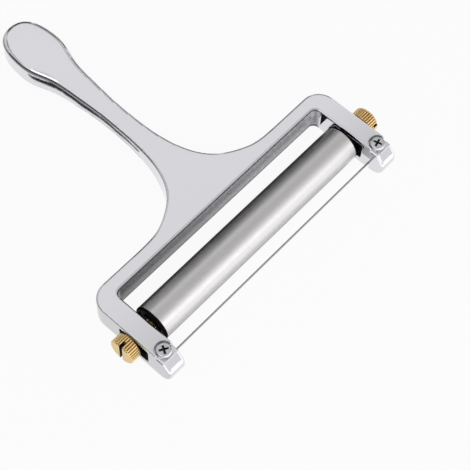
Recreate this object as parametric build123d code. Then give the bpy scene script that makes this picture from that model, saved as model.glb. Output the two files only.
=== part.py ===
from build123d import *
import os
from math import cos, pi, sin

# A hand cheese slicer: a cast frame with a paddle handle and two arms, a free
# turning roller between the arms, and a taut wire across the arm tips.
# X runs along the roller, +Y towards the end of the handle, +Z up.
# The origin is under the middle of the whole slicer, on the face it rests on.

# Frame, plan sizes
handle_length = 121.5
frame_width = 144.0
arm_width = 9.6
crossbar_width = 6.9
window_length = 39.6
outer_corner_radius = 9.0
inner_corner_radius = 2.8

# Frame, heights
frame_depth = 15.4
crossbar_lift = 1.8
arm_taper_start = 13.0
top_edge_round = 1.1
lower_edge_round = 1.5

# Handle, plan sizes
paddle_width = 22.8
neck_width = 9.6
flare_width = 92.0

# Where along the handle, as shares of its length from the crossbar, the neck is
# narrowest and the paddle widest, and how full the paddle's end is
neck_share = 0.44
paddle_share = 0.844
paddle_end_fullness_share = 1.3

# The taper from the paddle to the neck: shares of the handle's length and of the
# paddle's extra width over the neck
taper_shares = ((0.725, 0.485), (0.605, 0.182))

# The flare from the neck out to the crossbar: shares of its length, measured
# from the crossbar, and of its reach beside the neck
flare_shares = ((0.59, 0.026), (0.33, 0.117), (0.165, 0.267), (0.052, 0.5))

# The handle from the side: it rises to its end, and its underside lies at
# shares of the handle's length and of the crossbar's depth
handle_rise = 3.6
rise_start_share = 0.2
underside_shares = ((0.08, 1.0), (0.2, 0.8), (0.35, 0.6), (0.6, 0.56), (0.82, 0.66), (1.0, 0.62))

# The rounds grow in small steps along the handle, between two shares of its length
# from the crossbar, until they reach these shares of the fork's top and lower rounds
round_step_count = 7
round_growth_start_share = 0.2
round_growth_end_share = 0.7
full_top_round_share = 2.1
full_lower_round_share = 1.4

# Arm tips
tip_length = 7.8
tip_foot_start = 6.2
tip_foot_length = 9.2
tip_nose_height = 6.9
seat_drop = 1.9
seat_radius = 4.0
seat_run = 3.9
tip_chamfer_run = 2.3
tip_chamfer_drop = 3.0

# Slots in the arms and their liners
slot_length = 16.2
slot_height = 9.4
slot_corner_radius = 1.2
slot_from_nose = 20.1
liner_recess = 0.6
liner_clearance = 0.1
liner_end_wall = 1.6
slide_clearance = 0.3

# Roller, end caps and axle
roller_diameter = 17.2
roller_wall = 1.1
roller_end_play = 1.7
roller_drop = 6.6
roller_setback = 1.4
cap_flange = 1.2
cap_spigot = 8.0
cap_edge = 0.4
cap_dish = 0.6
cap_rim = 1.5
cap_hub_diameter = 9.6
cap_clearance = 0.1
axle_diameter = 6.0
axle_end_margin = 0.25
axle_edge = 0.3
running_clearance = 0.08

# Thumb screws
screw_diameter = 4.0
screw_reach = 18.0
screw_bore_spare = 2.0
thread_clearance = 0.05
knob_diameter = 12.2
knob_thickness = 5.75
knob_gap = 0.25
knob_edge = 0.6
knurl_count = 32
knurl_depth = 0.5
knurl_crest_share = 0.35
knob_slot_width = 1.5
knob_slot_depth = 2.9
knob_turn = {"left": 0, "right": 72}

# Cutting wire, its ferrules and the screws that tighten it
wire_diameter = 0.9
wire_height = 4.0
wire_bend_radius = 0.9
wire_stub = 0.5
wire_grip = 2.2
wire_clearance = 0.1
ferrule_flats = 5.5
ferrule_room = 0.6
ferrule_edge = 0.4
ferrule_clearance = 0.15
pocket_web = 1.5
slit_clearance = 0.3
tension_screw_diameter = 3.4
tension_head_diameter = 7.0
tension_head_height = 2.2
tension_head_rim = 1.1
tension_screw_spare = 0.8
cross_span = 4.4
cross_slot_width = 1.0
cross_depth = 1.6
cross_floor_span = 2.0
cross_turn = {"left": 30, "right": 15}

# A cut runs this far past the face it opens, edges within the next distance of
# a height lie on it, and the underside's edges lie below a share of the depth
overrun = 1.0
touch = 0.01
underside_level_share = 0.6

# Places worked out from the sizes above
overall_length = window_length + crossbar_width + handle_length
nose_y = -overall_length / 2
tip_y = overall_length / 2
slot_y = nose_y + slot_from_nose
screw_y = nose_y + tip_length
crossbar_front_y = nose_y + window_length
crossbar_rear_y = crossbar_front_y + crossbar_width
neck_length = neck_share * handle_length
neck_y = crossbar_rear_y + neck_length
paddle_y = crossbar_rear_y + paddle_share * handle_length
crossbar_depth = frame_depth - crossbar_lift
arm_outer_x = frame_width / 2
arm_inner_x = arm_outer_x - arm_width
arm_mid_x = arm_outer_x - arm_width / 2
roller_y = slot_y + roller_setback
roller_z = frame_depth - roller_drop
roller_length = 2 * (arm_inner_x - roller_end_play - cap_flange)
bore_radius = roller_diameter / 2 - roller_wall
axle_length = roller_length + 2 * cap_flange - 2 * axle_end_margin
screw_bore_radius = screw_diameter / 2 + thread_clearance
knob_face_x = arm_outer_x + knob_gap
seat_z = frame_depth - seat_drop
pocket_top_z = seat_z - pocket_web
ferrule_bottom_z = wire_height + wire_bend_radius + wire_stub
ferrule_length = pocket_top_z - ferrule_room - ferrule_bottom_z
thread_floor_z = ferrule_bottom_z + wire_grip + wire_clearance
tension_screw_length = seat_z - thread_floor_z - tension_screw_spare


def handle_side():
    """Half the handle's outline, from the end of the paddle round to the crossbar."""
    half_paddle = paddle_width / 2
    half_neck = neck_width / 2
    half_flare = flare_width / 2
    taper_points = [
        (half_neck + out * (half_paddle - half_neck), crossbar_rear_y + along * handle_length)
        for along, out in taper_shares
    ]
    end_curve = Spline(
        [(0, tip_y), (half_paddle, paddle_y)],
        tangents=[(1, 0), (0, -1)],
        tangent_scalars=[paddle_end_fullness_share, paddle_end_fullness_share],
    )
    body_curve = Spline(
        [(half_paddle, paddle_y), *taper_points, (half_neck, neck_y)],
        tangents=[(0, -1), (0, -1)],
    )
    reach = half_flare - half_neck
    flare_points = [
        (half_neck + out * reach, crossbar_rear_y + along * neck_length)
        for along, out in flare_shares
    ]
    flare_curve = Spline(
        [(half_neck, neck_y), *flare_points, (half_flare, crossbar_rear_y)],
        tangents=[(0, -1), (1, 0)],
    )
    return [end_curve, body_curve, flare_curve]


def handle_plan():
    """The whole handle outline as a face that laps over the crossbar."""
    half_flare = flare_width / 2
    lap_y = crossbar_rear_y - crossbar_width / 2
    curves = handle_side()
    curves.append(Line((half_flare, crossbar_rear_y), (half_flare, lap_y)))
    curves.append(Line((half_flare, lap_y), (0, lap_y)))
    curves.append(Line((0, lap_y), (0, tip_y)))
    half = make_face(Wire(curves))
    return half + mirror(half, Plane.YZ)


def fork_plan():
    """The crossbar and the two arms seen from above."""
    length = crossbar_rear_y - nose_y
    mid_y = nose_y + length / 2
    body = Pos(0, mid_y) * Rectangle(frame_width, length)
    rear = [corner for corner in body.vertices() if corner.Y > mid_y]
    body = fillet(rear, outer_corner_radius)
    opening_y = crossbar_front_y - length / 2
    opening = Pos(0, opening_y) * Rectangle(2 * arm_inner_x, length)
    corners = [corner for corner in opening.vertices() if corner.Y > opening_y]
    return body - fillet(corners, inner_corner_radius)


def side_profile():
    """The frame seen from the side: tips, level fork, and the handle rising to its end."""
    seat_front = (screw_y - seat_run, seat_z)
    nose_top = (screw_y - seat_run - tip_chamfer_run, seat_z - tip_chamfer_drop)
    nose = (nose_y, tip_nose_height)
    foot = (nose_y + tip_foot_start, 0)
    foot_end = (nose_y + tip_foot_start + tip_foot_length, 0)
    arm_root = (crossbar_front_y - arm_taper_start, frame_depth - crossbar_depth)
    underside = [
        (crossbar_rear_y + along * handle_length, frame_depth - down * crossbar_depth)
        for along, down in underside_shares
    ]
    end_top = (tip_y, frame_depth + handle_rise)
    rise_start = (crossbar_rear_y + rise_start_share * handle_length, frame_depth)
    edges = [
        Line((screw_y, frame_depth), (screw_y, seat_z)),
        Line((screw_y, seat_z), seat_front),
        Line(seat_front, nose_top),
        Spline([nose_top, nose], tangents=[(-tip_chamfer_run, -tip_chamfer_drop), (0, -1)]),
        Spline([nose, foot], tangents=[(0, -1), (1, 0)]),
        Line(foot, foot_end),
        Line(foot_end, arm_root),
        Line(arm_root, underside[0]),
        Spline(underside, tangents=[(1, 0), (1, 0)]),
        Line(underside[-1], end_top),
        Spline([end_top, rise_start], tangents=[(-1, 0), (-1, 0)]),
        Line(rise_start, (screw_y, frame_depth)),
    ]
    return make_face(Wire(edges))


def frame_blank():
    """The casting before its slots and bores, with sharp edges."""
    plan = fork_plan() + handle_plan()
    prism = extrude(plan, amount=frame_depth + handle_rise)
    side = Plane.YZ * side_profile()
    return prism & extrude(side, amount=arm_outer_x + overrun, both=True)


def top_edges(solid):
    """The edges round the top, without the seams across the handle."""
    chosen = []
    for edge in solid.edges():
        box = edge.bounding_box()
        seam = box.size.Y < touch and box.min.Y > crossbar_rear_y + touch
        if box.min.Z > frame_depth - touch and not seam:
            chosen.append(edge)
    return chosen


def lower_edges(solid):
    """The edges round the underside, and those down both sides of each arm tip."""
    chosen = []
    for edge in solid.edges():
        box = edge.bounding_box()
        across = box.size.Y < touch and abs(edge.center().Y - crossbar_front_y) > touch
        low = box.max.Z < frame_depth * underside_level_share
        tip_side = box.max.Y < screw_y + touch
        if (low or tip_side) and not across:
            chosen.append(edge)
    return chosen


def rounded_stretch(blank, start_y, end_y, top_share, lower_share):
    """The casting from one place along Y to another, with its long edges rounded."""
    block = Box(frame_width + overrun, end_y - start_y, 2 * (frame_depth + handle_rise) + overrun)
    stretch = blank & Pos(0, (start_y + end_y) / 2) * block
    stretch = fillet(top_edges(stretch), top_share * top_edge_round)
    return fillet(lower_edges(stretch), lower_share * lower_edge_round)


def rounded_blank():
    """The casting with its top and lower edges rounded, more fully along the handle."""
    blank = frame_blank()
    growth_length = (round_growth_end_share - round_growth_start_share) * handle_length
    step_length = growth_length / round_step_count
    start_y = crossbar_rear_y + round_growth_start_share * handle_length
    body = rounded_stretch(blank, nose_y - overrun, start_y, 1, 1)
    for step in range(1, round_step_count + 1):
        done = step / round_step_count
        end_y = tip_y + overrun if step == round_step_count else start_y + step_length
        top_share = 1 + done * (full_top_round_share - 1)
        lower_share = 1 + done * (full_lower_round_share - 1)
        body += rounded_stretch(blank, start_y, end_y, top_share, lower_share)
        start_y = end_y
    return body


def slot_block(length, height, thickness):
    """A bar along X with rounded long edges, the shape of a slot through an arm."""
    section = RectangleRounded(length, height, slot_corner_radius)
    return extrude(Plane.YZ * section, amount=thickness / 2, both=True)


def tip_cuts():
    """What is cut from one arm tip, with the screw's axis on Z."""
    seat = Pos(0, 0, seat_z) * extrude(Circle(seat_radius), amount=seat_drop + overrun)
    screw_hole_radius = tension_screw_diameter / 2 + slide_clearance
    screw_hole = extrude(Circle(screw_hole_radius), amount=seat_z + overrun)
    pocket = Pos(0, 0, -overrun) * extrude(hexagon(ferrule_clearance), amount=pocket_top_z + overrun)
    slit_width = wire_diameter + 2 * slit_clearance
    slit_end_z = wire_height + wire_diameter / 2
    reach = arm_width + overrun
    slit_body = Pos(0, 0, slit_end_z / 2) * Box(reach, slit_width, slit_end_z + overrun)
    slit_end = Pos(0, 0, slit_end_z) * Cylinder(slit_width / 2, reach, rotation=(0, 90, 0))
    slit = Pos(-reach / 2) * (slit_body + slit_end)
    return seat + screw_hole + pocket + slit


def hexagon(clearance):
    """The ferrule's six-sided outline, grown all round by a clearance."""
    apothem = ferrule_flats / 2 + clearance
    return RegularPolygon(apothem, 6, major_radius=False, rotation=30)


def frame():
    """The casting: paddle handle, crossbar and two slotted arms with bored tips."""
    body = rounded_blank()
    slot = slot_block(slot_length, slot_height, arm_width + 2 * overrun)
    cuts = Pos(arm_mid_x, slot_y, roller_z) * slot + Pos(arm_mid_x, screw_y) * tip_cuts()
    body = body - cuts
    return body - mirror(cuts, Plane.YZ)


def slot_liner():
    """The right arm's liner: a plastic block in the slot, with its own narrower slot."""
    thickness = arm_width - 2 * liner_recess
    outer = slot_block(slot_length - 2 * liner_clearance, slot_height - 2 * liner_clearance, thickness)
    inner_height = screw_diameter + 2 * slide_clearance
    inner = SlotOverall(slot_length - 2 * liner_end_wall, inner_height)
    cut = extrude(Plane.YZ * inner, amount=arm_width, both=True)
    return Pos(arm_mid_x, slot_y, roller_z) * (outer - cut)


def turned(points):
    """A solid of revolution about X through the roller, from (along, radius) points."""
    outline = make_face(Polyline(*[(along, radius) for along, radius in points], close=True))
    return Pos(0, roller_y, roller_z) * revolve(outline, Axis.X)


def roller_tube():
    """The roller's steel tube."""
    radius = roller_diameter / 2
    start = -roller_length / 2
    end = roller_length / 2
    return turned([(start, bore_radius), (start, radius), (end, radius), (end, bore_radius)])


def roller_cap():
    """The right end cap: a dished flange and a spigot."""
    radius = roller_diameter / 2
    joint_x = roller_length / 2
    face_x = joint_x + cap_flange
    dish_x = face_x - cap_dish
    spigot = bore_radius - cap_clearance
    bore = axle_diameter / 2 + running_clearance
    hub = cap_hub_diameter / 2
    return turned([
        (joint_x - cap_spigot, bore),
        (joint_x - cap_spigot, spigot - cap_edge),
        (joint_x - cap_spigot + cap_edge, spigot),
        (joint_x, spigot),
        (joint_x, radius),
        (face_x - cap_edge, radius),
        (face_x, radius - cap_edge),
        (face_x, radius - cap_rim),
        (dish_x, radius - cap_rim),
        (dish_x, hub),
        (face_x, hub),
        (face_x, bore),
    ])


def roller_axle():
    """The steel rod through the roller, bored at both ends for the thumb screws."""
    radius = axle_diameter / 2
    half = axle_length / 2
    engaged = half - knob_face_x + screw_reach
    bore_end_x = half - engaged - screw_bore_spare
    right = [
        (half, radius - axle_edge),
        (half, screw_bore_radius),
        (bore_end_x, screw_bore_radius),
        (bore_end_x, 0),
    ]
    left = [(-along, out) for along, out in reversed(right)]
    rim = [(-half + axle_edge, radius), (half - axle_edge, radius)]
    return turned(rim + right + left)


def knob():
    """A knurled knob of the right thumb screw, turned about X, with a driver slot."""
    crest = knob_diameter / 2
    valley = crest - knurl_depth
    pitch = 2 * pi / knurl_count
    flat = pitch * knurl_crest_share / 2
    outline = []
    for tooth in range(knurl_count):
        middle = tooth * pitch
        for angle, radius in ((middle - flat, crest), (middle + flat, crest), (middle + pitch / 2, valley)):
            outline.append((radius * cos(angle), radius * sin(angle)))
    section = make_face(Polyline(*outline, close=True))
    ridges = Pos(knob_face_x) * extrude(Plane.YZ * section, amount=knob_thickness)
    end_x = knob_face_x + knob_thickness
    barrel = turned([
        (knob_face_x, 0),
        (knob_face_x, crest - knob_edge),
        (knob_face_x + knob_edge, crest),
        (end_x - knob_edge, crest),
        (end_x, crest - knob_edge),
        (end_x, 0),
    ])
    slot = Box(2 * knob_slot_depth, knob_slot_width, knob_diameter + 2 * overrun)
    return (Pos(0, roller_y, roller_z) * ridges & barrel) - Pos(end_x, roller_y, roller_z) * slot


def thumb_screw():
    """The right thumb screw: knob and shank."""
    start_x = knob_face_x - screw_reach
    end_x = knob_face_x + knob_edge
    radius = screw_diameter / 2
    shank = turned([
        (start_x, 0),
        (start_x, radius - axle_edge),
        (start_x + axle_edge, radius),
        (end_x, radius),
        (end_x, 0),
    ])
    return knob() + shank


def cutting_wire():
    """The taut wire, with both ends bent up into the ferrules."""
    end_z = ferrule_bottom_z + wire_grip
    bend_x = arm_mid_x - wire_bend_radius
    bend_z = wire_height + wire_bend_radius
    path = Wire([
        Line((-arm_mid_x, 0, end_z), (-arm_mid_x, 0, bend_z)),
        TangentArc((-arm_mid_x, 0, bend_z), (-bend_x, 0, wire_height), tangent=(0, 0, -1)),
        Line((-bend_x, 0, wire_height), (bend_x, 0, wire_height)),
        TangentArc((bend_x, 0, wire_height), (arm_mid_x, 0, bend_z), tangent=(1, 0, 0)),
        Line((arm_mid_x, 0, bend_z), (arm_mid_x, 0, end_z)),
    ])
    start = Plane(origin=(-arm_mid_x, 0, end_z), z_dir=(0, 0, -1))
    return Pos(0, screw_y) * sweep(start * Circle(wire_diameter / 2), path)


def wire_ferrule():
    """The right ferrule: a six-sided nut holding the wire from below, bored for its screw."""
    blank = extrude(hexagon(0), amount=ferrule_length)
    corner = ferrule_flats / 3**0.5
    rounding = Cylinder(corner, ferrule_length, align=(Align.CENTER, Align.CENTER, Align.MIN))
    body = blank & chamfer(rounding.edges().filter_by(GeomType.CIRCLE), ferrule_edge)
    wire_hole = extrude(Circle(wire_diameter / 2 + wire_clearance), amount=ferrule_length)
    thread_radius = tension_screw_diameter / 2 + thread_clearance
    thread_start = thread_floor_z - ferrule_bottom_z
    thread = Pos(0, 0, thread_start) * extrude(Circle(thread_radius), amount=ferrule_length)
    return Pos(arm_mid_x, screw_y, ferrule_bottom_z) * (body - wire_hole - thread)


def cross_recess():
    """The cross-shaped driver recess, with its mouth at height zero."""
    arm = Box(cross_span, cross_slot_width, 2 * cross_depth)
    cross = arm + Rot(0, 0, 90) * arm
    taper = Pos(0, 0, -cross_depth / 2) * Cone(cross_floor_span / 2, cross_span / 2, cross_depth)
    return cross & (taper + extrude(Circle(cross_span / 2), amount=overrun))


def tension_screw(turn):
    """The right tension screw, turned by an angle: a pan head on the tip's seat and a shank."""
    radius = tension_head_diameter / 2
    disc = Cylinder(radius, tension_head_height, align=(Align.CENTER, Align.CENTER, Align.MIN))
    head = fillet(disc.edges().sort_by(Axis.Z)[-1], tension_head_height - tension_head_rim)
    head = head - Pos(0, 0, tension_head_height) * cross_recess()
    shank = Pos(0, 0, -tension_screw_length) * extrude(
        Circle(tension_screw_diameter / 2), amount=tension_screw_length + tension_head_rim / 2
    )
    return Pos(arm_mid_x, screw_y, seat_z) * Rot(0, 0, turn) * (head + shank)


def save(name, solid):
    """Write one node's solid to its own file."""
    solid.label = name
    export_step(solid, os.path.join("parts", name + ".step"))


def turned_about_roller(solid, degrees):
    """A solid turned about the roller's axis."""
    return Pos(0, roller_y, roller_z) * Rot(degrees, 0, 0) * Pos(0, -roller_y, -roller_z) * solid


if __name__ == "__main__":
    os.makedirs("parts", exist_ok=True)
    save("frame", frame())
    save("roller_tube", roller_tube())
    save("roller_axle", roller_axle())
    save("cutting_wire", cutting_wire())
    liner = slot_liner()
    cap = roller_cap()
    knobbed = thumb_screw()
    ferrule = wire_ferrule()
    for side in ("left", "right"):
        screw = turned_about_roller(knobbed, knob_turn[side])
        tightener = tension_screw(cross_turn[side])
        pieces = {
            "slot_liner": liner,
            "roller_cap": cap,
            "thumb_screw": screw,
            "wire_ferrule": ferrule,
            "tension_screw": tightener,
        }
        for name, solid in pieces.items():
            save(name + "_" + side, mirror(solid, Plane.YZ) if side == "left" else solid)
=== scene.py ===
import bpy
import math
import numpy as np
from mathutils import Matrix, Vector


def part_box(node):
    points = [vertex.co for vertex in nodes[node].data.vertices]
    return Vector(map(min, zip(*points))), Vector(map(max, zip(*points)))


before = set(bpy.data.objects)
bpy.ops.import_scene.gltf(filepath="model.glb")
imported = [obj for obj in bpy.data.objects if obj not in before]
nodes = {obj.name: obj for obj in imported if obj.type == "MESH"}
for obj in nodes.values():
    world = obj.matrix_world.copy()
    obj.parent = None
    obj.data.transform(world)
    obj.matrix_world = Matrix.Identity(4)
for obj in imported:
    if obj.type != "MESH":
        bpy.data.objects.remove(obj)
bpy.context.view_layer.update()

# The frame: one zinc die casting with a paddle handle, a crossbar and two arms,
# chrome plated and polished, with the slow waves and the haze of handling. The
# window's long wall keeps the gritty skin of the casting under its plating, with
# painted shade along its upper and lower edges and towards its left end.


class Field:
    """A socket in a material, so that shader maths can be written as expressions."""

    def __init__(self, tree, socket):
        self.tree = tree
        self.socket = socket

    def node(self, kind, settings=None, output=0, **sockets):
        """Add a node, set its settings, then set or link its sockets.

        A socket is named with _ for a space, or numbered as s0, s1 and so on.
        """
        made = self.tree.nodes.new(kind)
        for name, value in (settings or {}).items():
            if name == "stops":
                fill_ramp(made.color_ramp, value)
            else:
                setattr(made, name, value)
        for name, value in sockets.items():
            numbered = name[0] == "s" and name[1:].isdigit()
            key = int(name[1:]) if numbered else name.replace("_", " ")
            if isinstance(value, Field):
                self.tree.links.new(value.socket, made.inputs[key])
            else:
                made.inputs[key].default_value = value
        return Field(self.tree, made.outputs[output])

    def math(self, operation, first, second=0.0):
        """One Math node on two values or fields."""
        return self.node("ShaderNodeMath", {"operation": operation}, s0=first, s1=second)

    def __add__(self, other):
        return self.math("ADD", self, other)

    __radd__ = __add__

    def __mul__(self, other):
        return self.math("MULTIPLY", self, other)

    __rmul__ = __mul__

    def __sub__(self, other):
        return self.math("SUBTRACT", self, other)

    def __rsub__(self, other):
        return self.math("SUBTRACT", other, self)

    def __pow__(self, other):
        return self.math("POWER", self, other)

    def __abs__(self):
        return self.math("ABSOLUTE", self)

    def greater(self, other):
        """The greater of this field and another."""
        return self.math("MAXIMUM", self, other)

    def another(self, output):
        """Another output of the node that this field comes from."""
        return Field(self.tree, self.socket.node.outputs[output])

    def axes(self):
        """The X, Y and Z of this vector, each as a field."""
        along_x = self.node("ShaderNodeSeparateXYZ", Vector=self)
        return along_x, along_x.another("Y"), along_x.another("Z")

    def mix(self, low, high):
        """A colour that goes from low to high as this field goes from 0 to 1."""
        kind = {"data_type": "RGBA"}
        return self.node("ShaderNodeMix", kind, output=2, s0=self, s6=low, s7=high)

    def between(self, low, high):
        """A value that goes from low to high as this field goes from 0 to 1."""
        return low + (high - low) * self

    def step(self, low, high):
        """0 below the low value and 1 above the high value, straight in between."""
        return self.node("ShaderNodeMapRange", s0=self, s1=low, s2=high)

    def ramp(self, *stops):
        """This field through a colour ramp of (place, grey) stops."""
        return self.node("ShaderNodeValToRGB", {"stops": stops}, Fac=self)

    def noise(self, scale, detail=2.0, stretch=(1.0, 1.0, 1.0), roughness=0.5):
        """Noise on these coordinates, stretched along each axis, from 0 to 1."""
        placed = self.node("ShaderNodeMapping", s3=stretch, Vector=self)
        return placed.node("ShaderNodeTexNoise", Vector=placed, Scale=scale,
                           Detail=detail, Roughness=roughness)

    def bump(self, depth, edge_round=0.0003):
        """A normal bumped by this field times a depth in metres, over rounded edges."""
        broken = self.node("ShaderNodeBevel", {"samples": 4}, Radius=edge_round)
        return self.node("ShaderNodeBump", Distance=depth, Height=self, Normal=broken)


def fill_ramp(ramp, stops):
    """Give a colour ramp grey stops at (place, grey)."""
    while len(ramp.elements) < len(stops):
        ramp.elements.new(1.0)
    for element, (place, grey) in zip(ramp.elements, stops):
        element.position = place
        element.color = (grey, grey, grey, 1.0)


def start_material(name, metallic, **constants):
    """A material with a Principled shader, and its Object coordinates as a field."""
    material = bpy.data.materials.new(name)
    material.use_nodes = True
    tree = material.node_tree
    shader = tree.nodes["Principled BSDF"]
    shader.inputs["Metallic"].default_value = metallic
    for socket, value in constants.items():
        shader.inputs[socket.replace("_", " ")].default_value = value
    coordinates = tree.nodes.new("ShaderNodeTexCoord")
    return material, shader, Field(tree, coordinates.outputs["Object"])


def feed(shader, socket, field):
    """Link a field into one socket of a shader."""
    field.tree.links.new(field.socket, shader.inputs[socket])


def finish_node(name, material):
    """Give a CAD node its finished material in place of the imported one."""
    mesh = nodes[name].data
    mesh.materials.clear()
    mesh.materials.append(material)


METAL = 1.0
PLASTIC = 0.0
SIDES = ("left", "right")

PLATE_LIGHT = (0.750, 0.750, 0.780, 1.0)
PLATE_SHADE = (0.715, 0.715, 0.747, 1.0)
PLATE_ROUGHNESS = (0.05, 0.11)
PLATE_WAVE_M = 0.00004
EDGE_ROUND_M = 0.0006

# The window behind the roller, from the casting's own box
WINDOW_LENGTH_M = 0.0396
ARM_WIDTH_M = 0.0096
BAR_DEPTH_M = 0.0154
casting_low, casting_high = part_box("frame")
wall_y = casting_low[1] + WINDOW_LENGTH_M
wall_end_x = casting_high[0] - ARM_WIDTH_M

# How far from the wall's face and edges the skin starts to fade, and where it ends
SKIN_DARK = (0.030, 0.030, 0.036, 1.0)
SKIN_LIGHT = (0.800, 0.790, 0.840, 1.0)
SKIN_BEHIND_M = (0.0024, 0.0036)
SKIN_BEFORE_M = (0.0006, 0.0009)
SKIN_UNDER_M = (0.0003, 0.0001)
SKIN_PAST_END_M = (0.0, 0.0004)

# Painted shade: the skin is darker along the wall's upper and lower edges and towards its left
# end
UPPER_PAINTED_SHADE_M = (0.0012, 0.0006)
LOWER_PAINTED_SHADE_M = (0.0039, 0.0045)
EDGE_SHADE = 0.9
LEFT_END_PAINTED_LIGHT = 0.30
FULL_PAINTED_LIGHT_SHARE = 0.4
GRIT_RANGE = (0.36, 0.64)
GRIT_SHINE = (0.55, 1.0)
SKIN_LESS_METAL = 0.85
SKIN_EXTRA_ROUGHNESS = 0.15

plating, plating_shader, place = start_material("chrome_plating", METAL)
cloud = place.noise(scale=28.0, detail=3.0)
haze = place.noise(scale=160.0, detail=4.0)
wave = place.noise(scale=45.0, detail=1.0)
along, depth_in, up = place.axes()
behind = depth_in.step(wall_y - SKIN_BEHIND_M[1], wall_y - SKIN_BEHIND_M[0])
before = 1.0 - depth_in.step(wall_y + SKIN_BEFORE_M[0], wall_y + SKIN_BEFORE_M[1])
under = 1.0 - up.step(BAR_DEPTH_M - SKIN_UNDER_M[0], BAR_DEPTH_M - SKIN_UNDER_M[1])
inside = 1.0 - abs(along).step(wall_end_x + SKIN_PAST_END_M[0],
                               wall_end_x + SKIN_PAST_END_M[1])
unpolished = behind * before * under * inside
# Painted shade: darker bands along the wall's upper and lower edges and a darker left end, laid
# over the grit's own tone
painted_upper_shade = up.step(BAR_DEPTH_M - UPPER_PAINTED_SHADE_M[0], BAR_DEPTH_M - UPPER_PAINTED_SHADE_M[1])
painted_edge_shade = painted_upper_shade + (1.0 - up.step(*LOWER_PAINTED_SHADE_M))
grit = place.noise(scale=900.0, detail=4.0, stretch=(0.5, 1.0, 1.6), roughness=0.7)
gritty = grit.step(*GRIT_RANGE).between(*GRIT_SHINE)
painted_light_from_left = along.step(-wall_end_x, FULL_PAINTED_LIGHT_SHARE * wall_end_x)
grit_and_painted_shade = gritty * painted_light_from_left.between(LEFT_END_PAINTED_LIGHT, 1.0) * (1.0 - EDGE_SHADE * painted_edge_shade)
skin_with_painted_shade = grit_and_painted_shade.mix(SKIN_DARK, SKIN_LIGHT)
polished = cloud.mix(PLATE_SHADE, PLATE_LIGHT)
plate_roughness = haze.between(*PLATE_ROUGHNESS)
feed(plating_shader, "Base Color", unpolished.mix(polished, skin_with_painted_shade))
feed(plating_shader, "Metallic", METAL - SKIN_LESS_METAL * unpolished)
feed(plating_shader, "Roughness", plate_roughness + SKIN_EXTRA_ROUGHNESS * unpolished)
feed(plating_shader, "Normal", wave.bump(PLATE_WAVE_M, EDGE_ROUND_M))
finish_node("frame", plating)

# The slot liners: black plastic blocks pressed into the arms' slots, each with a
# narrower slot that the clamping screw slides in. Moulded, with a fine spark
# eroded grain.

PLASTIC_BLACK = (0.002, 0.002, 0.002, 1.0)
PLASTIC_WORN = (0.006, 0.006, 0.006, 1.0)
MATT_GLOSS = 0.01
LINER_ROUGHNESS = (0.38, 0.60)
LINER_GRAIN_M = 0.00003

liner, liner_shader, place = start_material("liner_plastic", PLASTIC,
                                            Specular_IOR_Level=MATT_GLOSS)
grain = place.noise(scale=2600.0)
rub = place.noise(scale=220.0, detail=3.0)
feed(liner_shader, "Base Color", rub.mix(PLASTIC_BLACK, PLASTIC_WORN))
feed(liner_shader, "Roughness", rub.between(*LINER_ROUGHNESS))
feed(liner_shader, "Normal", grain.bump(LINER_GRAIN_M))
for side in SIDES:
    finish_node("slot_liner_" + side, liner)

# The roller: a stainless steel tube, ground on a lathe to a satin finish, so its
# fine lines run round it. It turns freely on its end caps.

ROLLER_LIGHT = (0.700, 0.688, 0.686, 1.0)
ROLLER_SHADE = (0.570, 0.560, 0.558, 1.0)
ROLLER_ROUGHNESS = (0.27, 0.35)
ROLLER_MOTTLE = 0.06
ROLLER_LINE_M = 0.000025

satin, satin_shader, place = start_material("satin_roller_steel", METAL)
lines = place.noise(scale=900.0, detail=3.0, stretch=(6.0, 0.35, 0.35), roughness=0.6)
bands = place.noise(scale=120.0, detail=3.0, stretch=(1.6, 0.2, 0.2))
mottle = place.noise(scale=900.0)
feed(satin_shader, "Base Color", lines.mix(ROLLER_SHADE, ROLLER_LIGHT))
feed(satin_shader, "Roughness", bands.between(*ROLLER_ROUGHNESS) + ROLLER_MOTTLE * mottle)
feed(satin_shader, "Normal", lines.bump(ROLLER_LINE_M))
finish_node("roller_tube", satin)

# The roller's end caps: black plastic bearings pressed into the tube, dished on
# their faces, worn a little glossy where they turn against the liners.

CAP_ROUGHNESS = (0.30, 0.50)
CAP_GRAIN_M = 0.00002

bearing, bearing_shader, place = start_material("end_cap_plastic", PLASTIC,
                                                Specular_IOR_Level=MATT_GLOSS)
wear = place.noise(scale=380.0, detail=3.0)
feed(bearing_shader, "Base Color", wear.mix(PLASTIC_BLACK, PLASTIC_WORN))
feed(bearing_shader, "Roughness", wear.between(*CAP_ROUGHNESS))
feed(bearing_shader, "Normal", place.noise(scale=3200.0).bump(CAP_GRAIN_M))
for side in SIDES:
    finish_node("roller_cap_" + side, bearing)

# The axle: a drawn steel rod through the roller, tapped at both ends. Only its
# ends show, in the gaps beside the roller.

AXLE_LIGHT = (0.60, 0.60, 0.61, 1.0)
AXLE_DULL = (0.42, 0.41, 0.41, 1.0)
AXLE_ROUGHNESS = (0.25, 0.40)
AXLE_LINE_M = 0.00001

rod, rod_shader, place = start_material("drawn_axle_steel", METAL)
drawn = place.noise(scale=1500.0, detail=3.0, stretch=(0.1, 2.0, 2.0))
feed(rod_shader, "Base Color", drawn.mix(AXLE_DULL, AXLE_LIGHT))
feed(rod_shader, "Roughness", drawn.between(*AXLE_ROUGHNESS))
feed(rod_shader, "Normal", drawn.bump(AXLE_LINE_M))
finish_node("roller_axle", rod)

# The thumb screws: turned brass with straight knurling and a driver slot across
# the face. They clamp the axle's ends against the arms. The knurling's crests
# are rubbed bright, and its grooves are darkened with painted shade over a
# browner tarnish; the driver slot is painted dark as shade.

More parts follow.
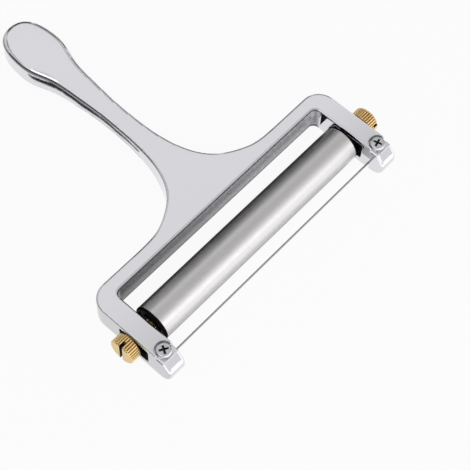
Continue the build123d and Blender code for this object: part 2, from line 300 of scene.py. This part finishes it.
BRASS_BRIGHT = (0.960, 0.730, 0.370, 1.0)
BRASS_WORN = (0.850, 0.575, 0.225, 1.0)
BRASS_GROOVE_TARNISH_AND_SHADE = (0.270, 0.145, 0.045, 1.0)
BRASS_ROUGHNESS = (0.20, 0.36)
BRASS_GRAIN_M = 0.000012
SLOT_PAINTED_SHADE = (0.020, 0.012, 0.006, 1.0)
SLOT_EXTRA_ROUGHNESS = 0.3
KNOB_CREST_M = 0.0061
KNOB_GROOVE_M = 0.00045
KNOB_EDGE_M = 0.0006
SLOT_HALF_M = 0.00077
SLOT_DEPTH_M = 0.0028
SLOT_TURN = {"left": 0.0, "right": math.radians(72.0)}
FINE_FADE_M = 0.0001
FADE_M = 0.0002

for side in SIDES:
    screw_low, screw_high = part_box("thumb_screw_" + side)
    _, axis_y, axis_z = [(low + high) / 2 for low, high in zip(screw_low, screw_high)]
    face_x = max(abs(screw_low[0]), abs(screw_high[0]))
    groove_radius = KNOB_CREST_M - KNOB_GROOVE_M
    slot_floor_x = face_x - SLOT_DEPTH_M
    edge_x = face_x - KNOB_EDGE_M
    turn = SLOT_TURN[side]
    brass, brass_shader, place = start_material("knurled_brass_" + side, METAL)
    along, ahead, up = place.axes()
    outward = abs(along)
    from_y = ahead - axis_y
    from_z = up - axis_z
    radius = (from_y * from_y + from_z * from_z) ** 0.5
    from_slot = abs(math.cos(turn) * from_y + math.sin(turn) * from_z)
    # Painted shade in the knurl's grooves, over some tarnish, and painted shade in the driver
    # slot
    in_groove_tarnish_and_shade = (radius.step(groove_radius - FINE_FADE_M, groove_radius)
                 * (1.0 - radius.step(groove_radius, KNOB_CREST_M))
                 * (1.0 - outward.step(edge_x - FADE_M, edge_x)))
    in_slot_shade = ((1.0 - from_slot.step(SLOT_HALF_M, SLOT_HALF_M + FINE_FADE_M))
               * outward.step(slot_floor_x - FADE_M, slot_floor_x))
    tarnish = place.noise(scale=420.0, detail=4.0)
    tarnish_and_groove_shade = in_groove_tarnish_and_shade.mix(tarnish.mix(BRASS_BRIGHT, BRASS_WORN), BRASS_GROOVE_TARNISH_AND_SHADE)
    brass_roughness = tarnish.between(*BRASS_ROUGHNESS)
    feed(brass_shader, "Base Color", in_slot_shade.mix(tarnish_and_groove_shade, SLOT_PAINTED_SHADE))
    feed(brass_shader, "Roughness", brass_roughness + SLOT_EXTRA_ROUGHNESS * in_slot_shade)
    feed(brass_shader, "Normal", place.noise(scale=2400.0).bump(BRASS_GRAIN_M))
    finish_node("thumb_screw_" + side, brass)

# The ferrules: six-sided brass nuts crimped on the wire's ends, which sit in
# pockets under the arm tips.

FERRULE_BRIGHT = (0.80, 0.59, 0.28, 1.0)
FERRULE_DEEP = (0.58, 0.38, 0.16, 1.0)
FERRULE_ROUGHNESS = (0.28, 0.46)
FERRULE_GRAIN_M = 0.00001

nut, nut_shader, place = start_material("ferrule_brass", METAL)
stain = place.noise(scale=500.0, detail=4.0)
turned = place.noise(scale=1800.0, stretch=(0.3, 1.0, 1.0))
feed(nut_shader, "Base Color", stain.mix(FERRULE_DEEP, FERRULE_BRIGHT))
feed(nut_shader, "Roughness", stain.between(*FERRULE_ROUGHNESS))
feed(nut_shader, "Normal", turned.bump(FERRULE_GRAIN_M))
for side in SIDES:
    finish_node("wire_ferrule_" + side, nut)

# The cutting wire: hard drawn stainless wire, pulled taut between the tips. Die
# lines run along it, and its surface has no edge to round.

WIRE_LIGHT = (0.44, 0.44, 0.45, 1.0)
WIRE_DARK = (0.26, 0.26, 0.27, 1.0)
WIRE_ROUGHNESS = (0.10, 0.22)
WIRE_LINE_M = 0.000003
NO_EDGE_ROUND_M = 0.0

wire, wire_shader, place = start_material("drawn_cutting_wire", METAL)
die_lines = place.noise(scale=2400.0, stretch=(0.01, 1.0, 1.0))
feed(wire_shader, "Base Color", die_lines.mix(WIRE_DARK, WIRE_LIGHT))
feed(wire_shader, "Roughness", die_lines.between(*WIRE_ROUGHNESS))
feed(wire_shader, "Normal", die_lines.bump(WIRE_LINE_M, NO_EDGE_ROUND_M))
finish_node("cutting_wire", wire)

# The tension screws: plated pan heads with a cross recess, each pulling one
# ferrule up to tighten the wire. The recess is painted dark inside as shade.

SCREW_LIGHT = (0.72, 0.72, 0.74, 1.0)
SCREW_DULL = (0.52, 0.52, 0.53, 1.0)
SCREW_ROUGHNESS = (0.14, 0.30)
SCREW_GRAIN_M = 0.00001
RECESS_PAINTED_SHADE = (0.006, 0.006, 0.006, 1.0)
RECESS_EXTRA_ROUGHNESS = 0.4
RECESS_REACH_M = 0.0023
RECESS_DARK_M = (0.0005, 0.0001)

head_low, head_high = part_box("tension_screw_right")
head_x, head_y, _ = [(low + high) / 2 for low, high in zip(head_low, head_high)]
head_top = head_high[2]
pan, pan_shader, place = start_material("plated_pan_head", METAL)
handling = place.noise(scale=700.0, detail=4.0)
along, ahead, up = place.axes()
# Painted shade inside the cross recess
from_axis = ((abs(along) - head_x) ** 2 + (ahead - head_y) ** 2) ** 0.5
in_recess_shade = ((1.0 - from_axis.step(RECESS_REACH_M, RECESS_REACH_M + FADE_M))
             * (1.0 - up.step(head_top - RECESS_DARK_M[0], head_top - RECESS_DARK_M[1])))
head_roughness = handling.between(*SCREW_ROUGHNESS)
feed(pan_shader, "Base Color", in_recess_shade.mix(handling.mix(SCREW_DULL, SCREW_LIGHT), RECESS_PAINTED_SHADE))
feed(pan_shader, "Metallic", METAL - in_recess_shade)
feed(pan_shader, "Roughness", head_roughness + RECESS_EXTRA_ROUGHNESS * in_recess_shade)
feed(pan_shader, "Normal", place.noise(scale=1500.0).bump(SCREW_GRAIN_M))
for side in SIDES:
    finish_node("tension_screw_" + side, pan)

# The table that the slicer lies on: a plain white sweep, level with the feet
# under the arm tips. The camera and reflections see most of it as plain light,
# so that it stays white, and the rest as paint that takes the shadow.

FLOOR_HALF_M = 3.0
FLOOR_POINTS = 9
FLOOR_WHITE = (0.82, 0.82, 0.82, 1.0)
FLOOR_GLOW_SHARE = 0.92
WHITE = (1.0, 1.0, 1.0, 1.0)


def seen_rays(tree):
    """1 for rays from the camera, or by way of polished or clear things, else 0."""
    seen = Field(tree, tree.nodes.new("ShaderNodeLightPath").outputs["Is Camera Ray"])
    mirrored = seen.another("Is Glossy Ray")
    return seen.greater(mirrored.greater(seen.another("Is Transmission Ray")))


def close_material(shown):
    """Link a field to the surface output of its material."""
    out = shown.tree.nodes.new("ShaderNodeOutputMaterial")
    shown.tree.links.new(shown.socket, out.inputs["Surface"])


reach = np.linspace(-FLOOR_HALF_M, FLOOR_HALF_M, FLOOR_POINTS)
floor_x, floor_y = np.meshgrid(reach, reach, indexing="ij")
floor_points = np.stack([floor_x, floor_y, np.zeros_like(floor_x)], axis=-1).reshape(-1, 3)
index = np.arange(floor_points.shape[0]).reshape(floor_x.shape)
floor_faces = np.stack([index[:-1, :-1], index[1:, :-1], index[1:, 1:], index[:-1, 1:]],
                       axis=-1).reshape(-1, 4)
floor_mesh = bpy.data.meshes.new("white_table")
floor_mesh.from_pydata(floor_points.tolist(), [], floor_faces.tolist())
floor = bpy.data.objects.new("white_table", floor_mesh)
bpy.context.scene.collection.objects.link(floor)

table_top = bpy.data.materials.new("white_table_top")
table_top.use_nodes = True
table_top.node_tree.nodes.clear()
seen = seen_rays(table_top.node_tree)
paint = seen.node("ShaderNodeBsdfDiffuse", Color=FLOOR_WHITE)
glow = seen.node("ShaderNodeEmission", Color=WHITE, Strength=1.0)
close_material(seen.node("ShaderNodeMixShader", s0=seen * FLOOR_GLOW_SHARE, s1=paint, s2=glow))
floor_mesh.materials.append(table_top)

# The studio: a white dome and two soft boxes give the light. Cards, which only
# reflections see, draw the bright and dark lines on the polished metal.

DOME_LEVEL = 0.55
SHOWN_LEVEL = 0.96

world = bpy.data.worlds.new("white_studio")
bpy.context.scene.world = world
world.use_nodes = True
background = world.node_tree.nodes["Background"]
background.inputs["Color"].default_value = WHITE
feed(background, "Strength", seen_rays(world.node_tree).between(DOME_LEVEL, SHOWN_LEVEL))


def add_lamp(name, place, aim, size, watts, mirrored=True):
    """A rectangular soft box at a place, facing a point, seen in polished metal or not."""
    lamp = bpy.data.lights.new(name, "AREA")
    lamp.shape = "RECTANGLE"
    lamp.size, lamp.size_y = size
    lamp.energy = watts
    box = bpy.data.objects.new(name, lamp)
    box.location = place
    toward = np.array(aim) - np.array(place)
    flat_run = math.hypot(toward[0], toward[1])
    tilt = math.atan2(flat_run, -toward[2])
    box.rotation_euler = (tilt, 0.0, math.atan2(-toward[0], toward[1]))
    box.visible_glossy = mirrored
    bpy.context.scene.collection.objects.link(box)


add_lamp("overhead_soft_box", place=(-0.9, -0.1, 1.1), aim=(0.0, 0.0, 0.0),
         size=(0.9, 0.9), watts=3.0)
add_lamp("wire_side_soft_box", place=(0.25, -0.95, 0.25), aim=(0.25, -0.1, 0.18),
         size=(1.7, 0.48), watts=7.3, mirrored=False)

ALONG_X, ALONG_Y, UPWARD = range(3)


def upright(start, end, low, high):
    """The corners of an upright card over a line from (x, y) to (x, y)."""
    return [(*start, low), (*end, low), (*end, high), (*start, high)]


def level(x_low, x_high, y_low, y_high, z):
    """The corners of a level card at a height."""
    return [(x_low, y_low, z), (x_high, y_low, z), (x_high, y_high, z), (x_low, y_high, z)]


def laid_out(z, *outline):
    """The corners of a level card with an (x, y) outline, at a height."""
    return [(*corner, z) for corner in outline]


def add_card(name, corners, axis, *stops, strength=1.0):
    """A card seen only in reflections, whose light goes by (place, grey) stops.

    The places are metres along one axis, and the strength multiplies every grey.
    """
    corners = np.array(corners)
    low, high = corners[:, axis].min(), corners[:, axis].max()
    shares = [((stop - low) / (high - low), grey) for stop, grey in stops]
    mesh = bpy.data.meshes.new(name)
    mesh.from_pydata(corners.tolist(), [], [tuple(range(len(corners)))])
    paper = bpy.data.materials.new(name)
    paper.use_nodes = True
    tree = paper.node_tree
    tree.nodes.clear()
    place = Field(tree, tree.nodes.new("ShaderNodeTexCoord").outputs["Object"])
    shade = place.axes()[axis].step(float(low), float(high)).ramp(*shares)
    close_material(shade.node("ShaderNodeEmission", Color=shade, Strength=strength))
    mesh.materials.append(paper)
    card = bpy.data.objects.new(name, mesh)
    card.visible_camera = False
    card.visible_diffuse = False
    card.visible_shadow = False
    bpy.context.scene.collection.objects.link(card)


# Overhead: the casting's top reflects the part from y = 0.33, for the arms, to 0.82,
# for the paddle. It has a narrow black band in front and grows dark at the back.
CEILING_Z = 1.2
SHADE_Z = 1.19
add_card("ceiling_card", level(-1.6, 1.8, -0.9, 1.5, CEILING_Z), ALONG_Y,
         (-0.9, 1.0), (-0.75, 0.90), (-0.74, 0.02), (-0.66, 0.02), (-0.65, 0.82),
         (-0.35, 0.60), (0.12, 0.64), (0.30, 0.70), (0.40, 0.91), (0.83, 0.95),
         (0.88, 0.55), (1.0, 0.30), (1.5, 0.15))
add_card("ceiling_shade_card", level(0.58, 1.4, 0.52, 1.5, SHADE_Z), ALONG_Y,
         (0.52, 0.60), (1.0, 0.35), (1.5, 0.15))

# Round the table: dark behind and on both sides, with a narrow light gap at the
# right, and pale behind the left
FAR_Y = 1.0
LEFT_X = -1.0
RIGHT_X = 1.1
add_card("far_card", upright((0.25, FAR_Y), (1.0, FAR_Y), 0.0, 1.0), UPWARD,
         (0.0, 0.01), (0.35, 0.03), (0.65, 0.16), (1.0, 0.40))
add_card("far_left_card", upright((-1.3, FAR_Y), (0.25, FAR_Y), 0.0, 1.0), UPWARD,
         (0.0, 0.45), (0.3, 0.55), (0.6, 0.75), (1.0, 0.90))
add_card("left_card", upright((LEFT_X, -0.6), (LEFT_X, 1.0), 0.0, 0.45), UPWARD,
         (0.0, 0.01), (0.25, 0.03), (0.45, 0.25))
add_card("right_card", upright((RIGHT_X, 1.0), (RIGHT_X, 0.33), 0.0, 0.7), UPWARD,
         (0.0, 0.01), (0.25, 0.03), (0.7, 0.25))
add_card("narrow_right_card", upright((RIGHT_X, 0.24), (RIGHT_X, -0.6), 0.0, 0.6), UPWARD,
         (0.0, 0.01), (0.25, 0.03), (0.6, 0.25))

# On the wire's side: bright for the roller's highlight, greyer near the table for
# the tips, and plainer further right, where the casting's top shows it from behind
WIRE_SIDE_Y = -0.93
WIRE_SIDE_END_X = 0.68
WIRE_SIDE_TOP_Z = 0.65
add_card("wire_side_card", upright((-0.8, WIRE_SIDE_Y), (WIRE_SIDE_END_X, WIRE_SIDE_Y),
                                   0.0, WIRE_SIDE_TOP_Z), UPWARD,
         (0.0, 0.44), (0.09, 0.48), (0.12, 1.0), (0.30, 0.95), (0.50, 0.92), (0.65, 1.0),
         strength=1.85)
add_card("far_wire_side_card", upright((WIRE_SIDE_END_X, WIRE_SIDE_Y), (1.6, WIRE_SIDE_Y),
                                       0.0, WIRE_SIDE_TOP_Z), UPWARD,
         (0.0, 0.80), (0.20, 0.85), (0.35, 0.90), (0.65, 0.95))

# Just over the table: a thin black card beside the handle and a grey one beyond it
# draw the streak on its left wall. Each row is the place along Y, the black card's
# near edge in X and its width, in mm.
STREAK_MM = [(3.9, -8.9, 0.4), (8.9, -9.2, 0.6), (18.8, -9.55, 0.85), (27.9, -10.6, 1.1),
             (37.8, -11.5, 1.5), (47.0, -12.8, 1.9), (51.1, -14.3, 2.2), (55.5, -16.5, 2.2),
             (58.5, -17.8, 1.9), (62.2, -18.5, 1.4), (66.0, -19.1, 0.8), (67.5, -19.3, 0.1)]
STREAK_GAP_M = 0.001
STREAK_Z = 0.0005
STREAK_BLACK = 0.01

streak_y, streak_near, streak_width = np.array(STREAK_MM).T / 1000
streak_z = np.full_like(streak_y, STREAK_Z)
near_edge = np.stack([streak_near, streak_y, streak_z], axis=1)
far_edge = np.stack([streak_near - streak_width, streak_y, streak_z], axis=1)
beyond_streak = laid_out(STREAK_Z, (-0.0206, 0.082), (-0.0206, 0.7), (-0.7, 0.7), (-0.7, 0.0039))
add_card("streak_card", [*near_edge, *far_edge[::-1]], ALONG_X,
         (-0.0200, STREAK_BLACK), (-0.0089, STREAK_BLACK))
add_card("left_floor_card", [*(far_edge - (STREAK_GAP_M, 0.0, 0.0)), *beyond_streak], ALONG_X,
         (-0.7, 0.01), (-0.10, 0.10), (-0.03, 0.30), (-0.0210, 0.45), (-0.0103, 0.45))

# Also over the table: the shade under the handle and the roller, the light that the
# tips and the left arm's outer wall reflect, and a black flag before the window's wall
TABLE_CARD_Z = 0.0004
ARM_CARD_Z = 0.0003
HANDLE_SHADE = 0.08
ARM_GREY = 0.80
FLAG_BLACK = 0.01
add_card("under_handle_card",
         laid_out(TABLE_CARD_Z, (-0.0055, 0.0), (-0.0055, 0.045), (-0.0098, 0.060),
                  (-0.0098, 0.074), (0.0098, 0.074), (0.0098, 0.060), (0.0055, 0.045),
                  (0.0055, 0.0)), ALONG_X,
         (-0.0098, HANDLE_SHADE), (0.0098, HANDLE_SHADE))
add_card("under_roller_card", level(-0.058, 0.058, -0.0745, -0.050, TABLE_CARD_Z), ALONG_Y,
         (-0.0745, 0.55), (-0.066, 0.30), (-0.050, 0.10))
add_card("wire_side_floor_card", level(-0.8, 1.3, -0.9, -0.098, TABLE_CARD_Z), ALONG_Y,
         (-0.9, 1.0), (-0.098, 1.0), strength=1.45)
add_card("arm_floor_card",
         laid_out(ARM_CARD_Z, (-0.4, -0.13), (-0.0725, -0.13), (-0.0725, -0.045),
                  (-0.050, -0.034), (-0.028, -0.026), (-0.014, -0.012), (-0.0095, 0.003),
                  (-0.4, 0.003)), ALONG_X,
         (-0.4, ARM_GREY), (-0.0095, ARM_GREY))
add_card("window_flag", upright((-0.0605, -0.047), (0.0605, -0.047), 0.0022, 0.0145), UPWARD,
         (0.0022, FLAG_BLACK), (0.0145, FLAG_BLACK))

# The camera: where the photograph was taken from, worked out from the slicer's
# own straight edges.

CAMERA_PLACE = (-0.228846, -0.244744, 0.527255)
CAMERA_TURN_DEG = (29.1548, -1.3963, -47.7219)
LENS_MM = 107.54
SENSOR_MM = 36.0

camera_data = bpy.data.cameras.new("camera")
camera_data.sensor_width = SENSOR_MM
camera_data.lens = LENS_MM
camera = bpy.data.objects.new("camera", camera_data)
camera.location = CAMERA_PLACE
camera.rotation_euler = tuple(math.radians(angle) for angle in CAMERA_TURN_DEG)
bpy.context.scene.collection.objects.link(camera)
bpy.context.scene.camera = camera
bpy.context.scene.view_settings.view_transform = "Standard"
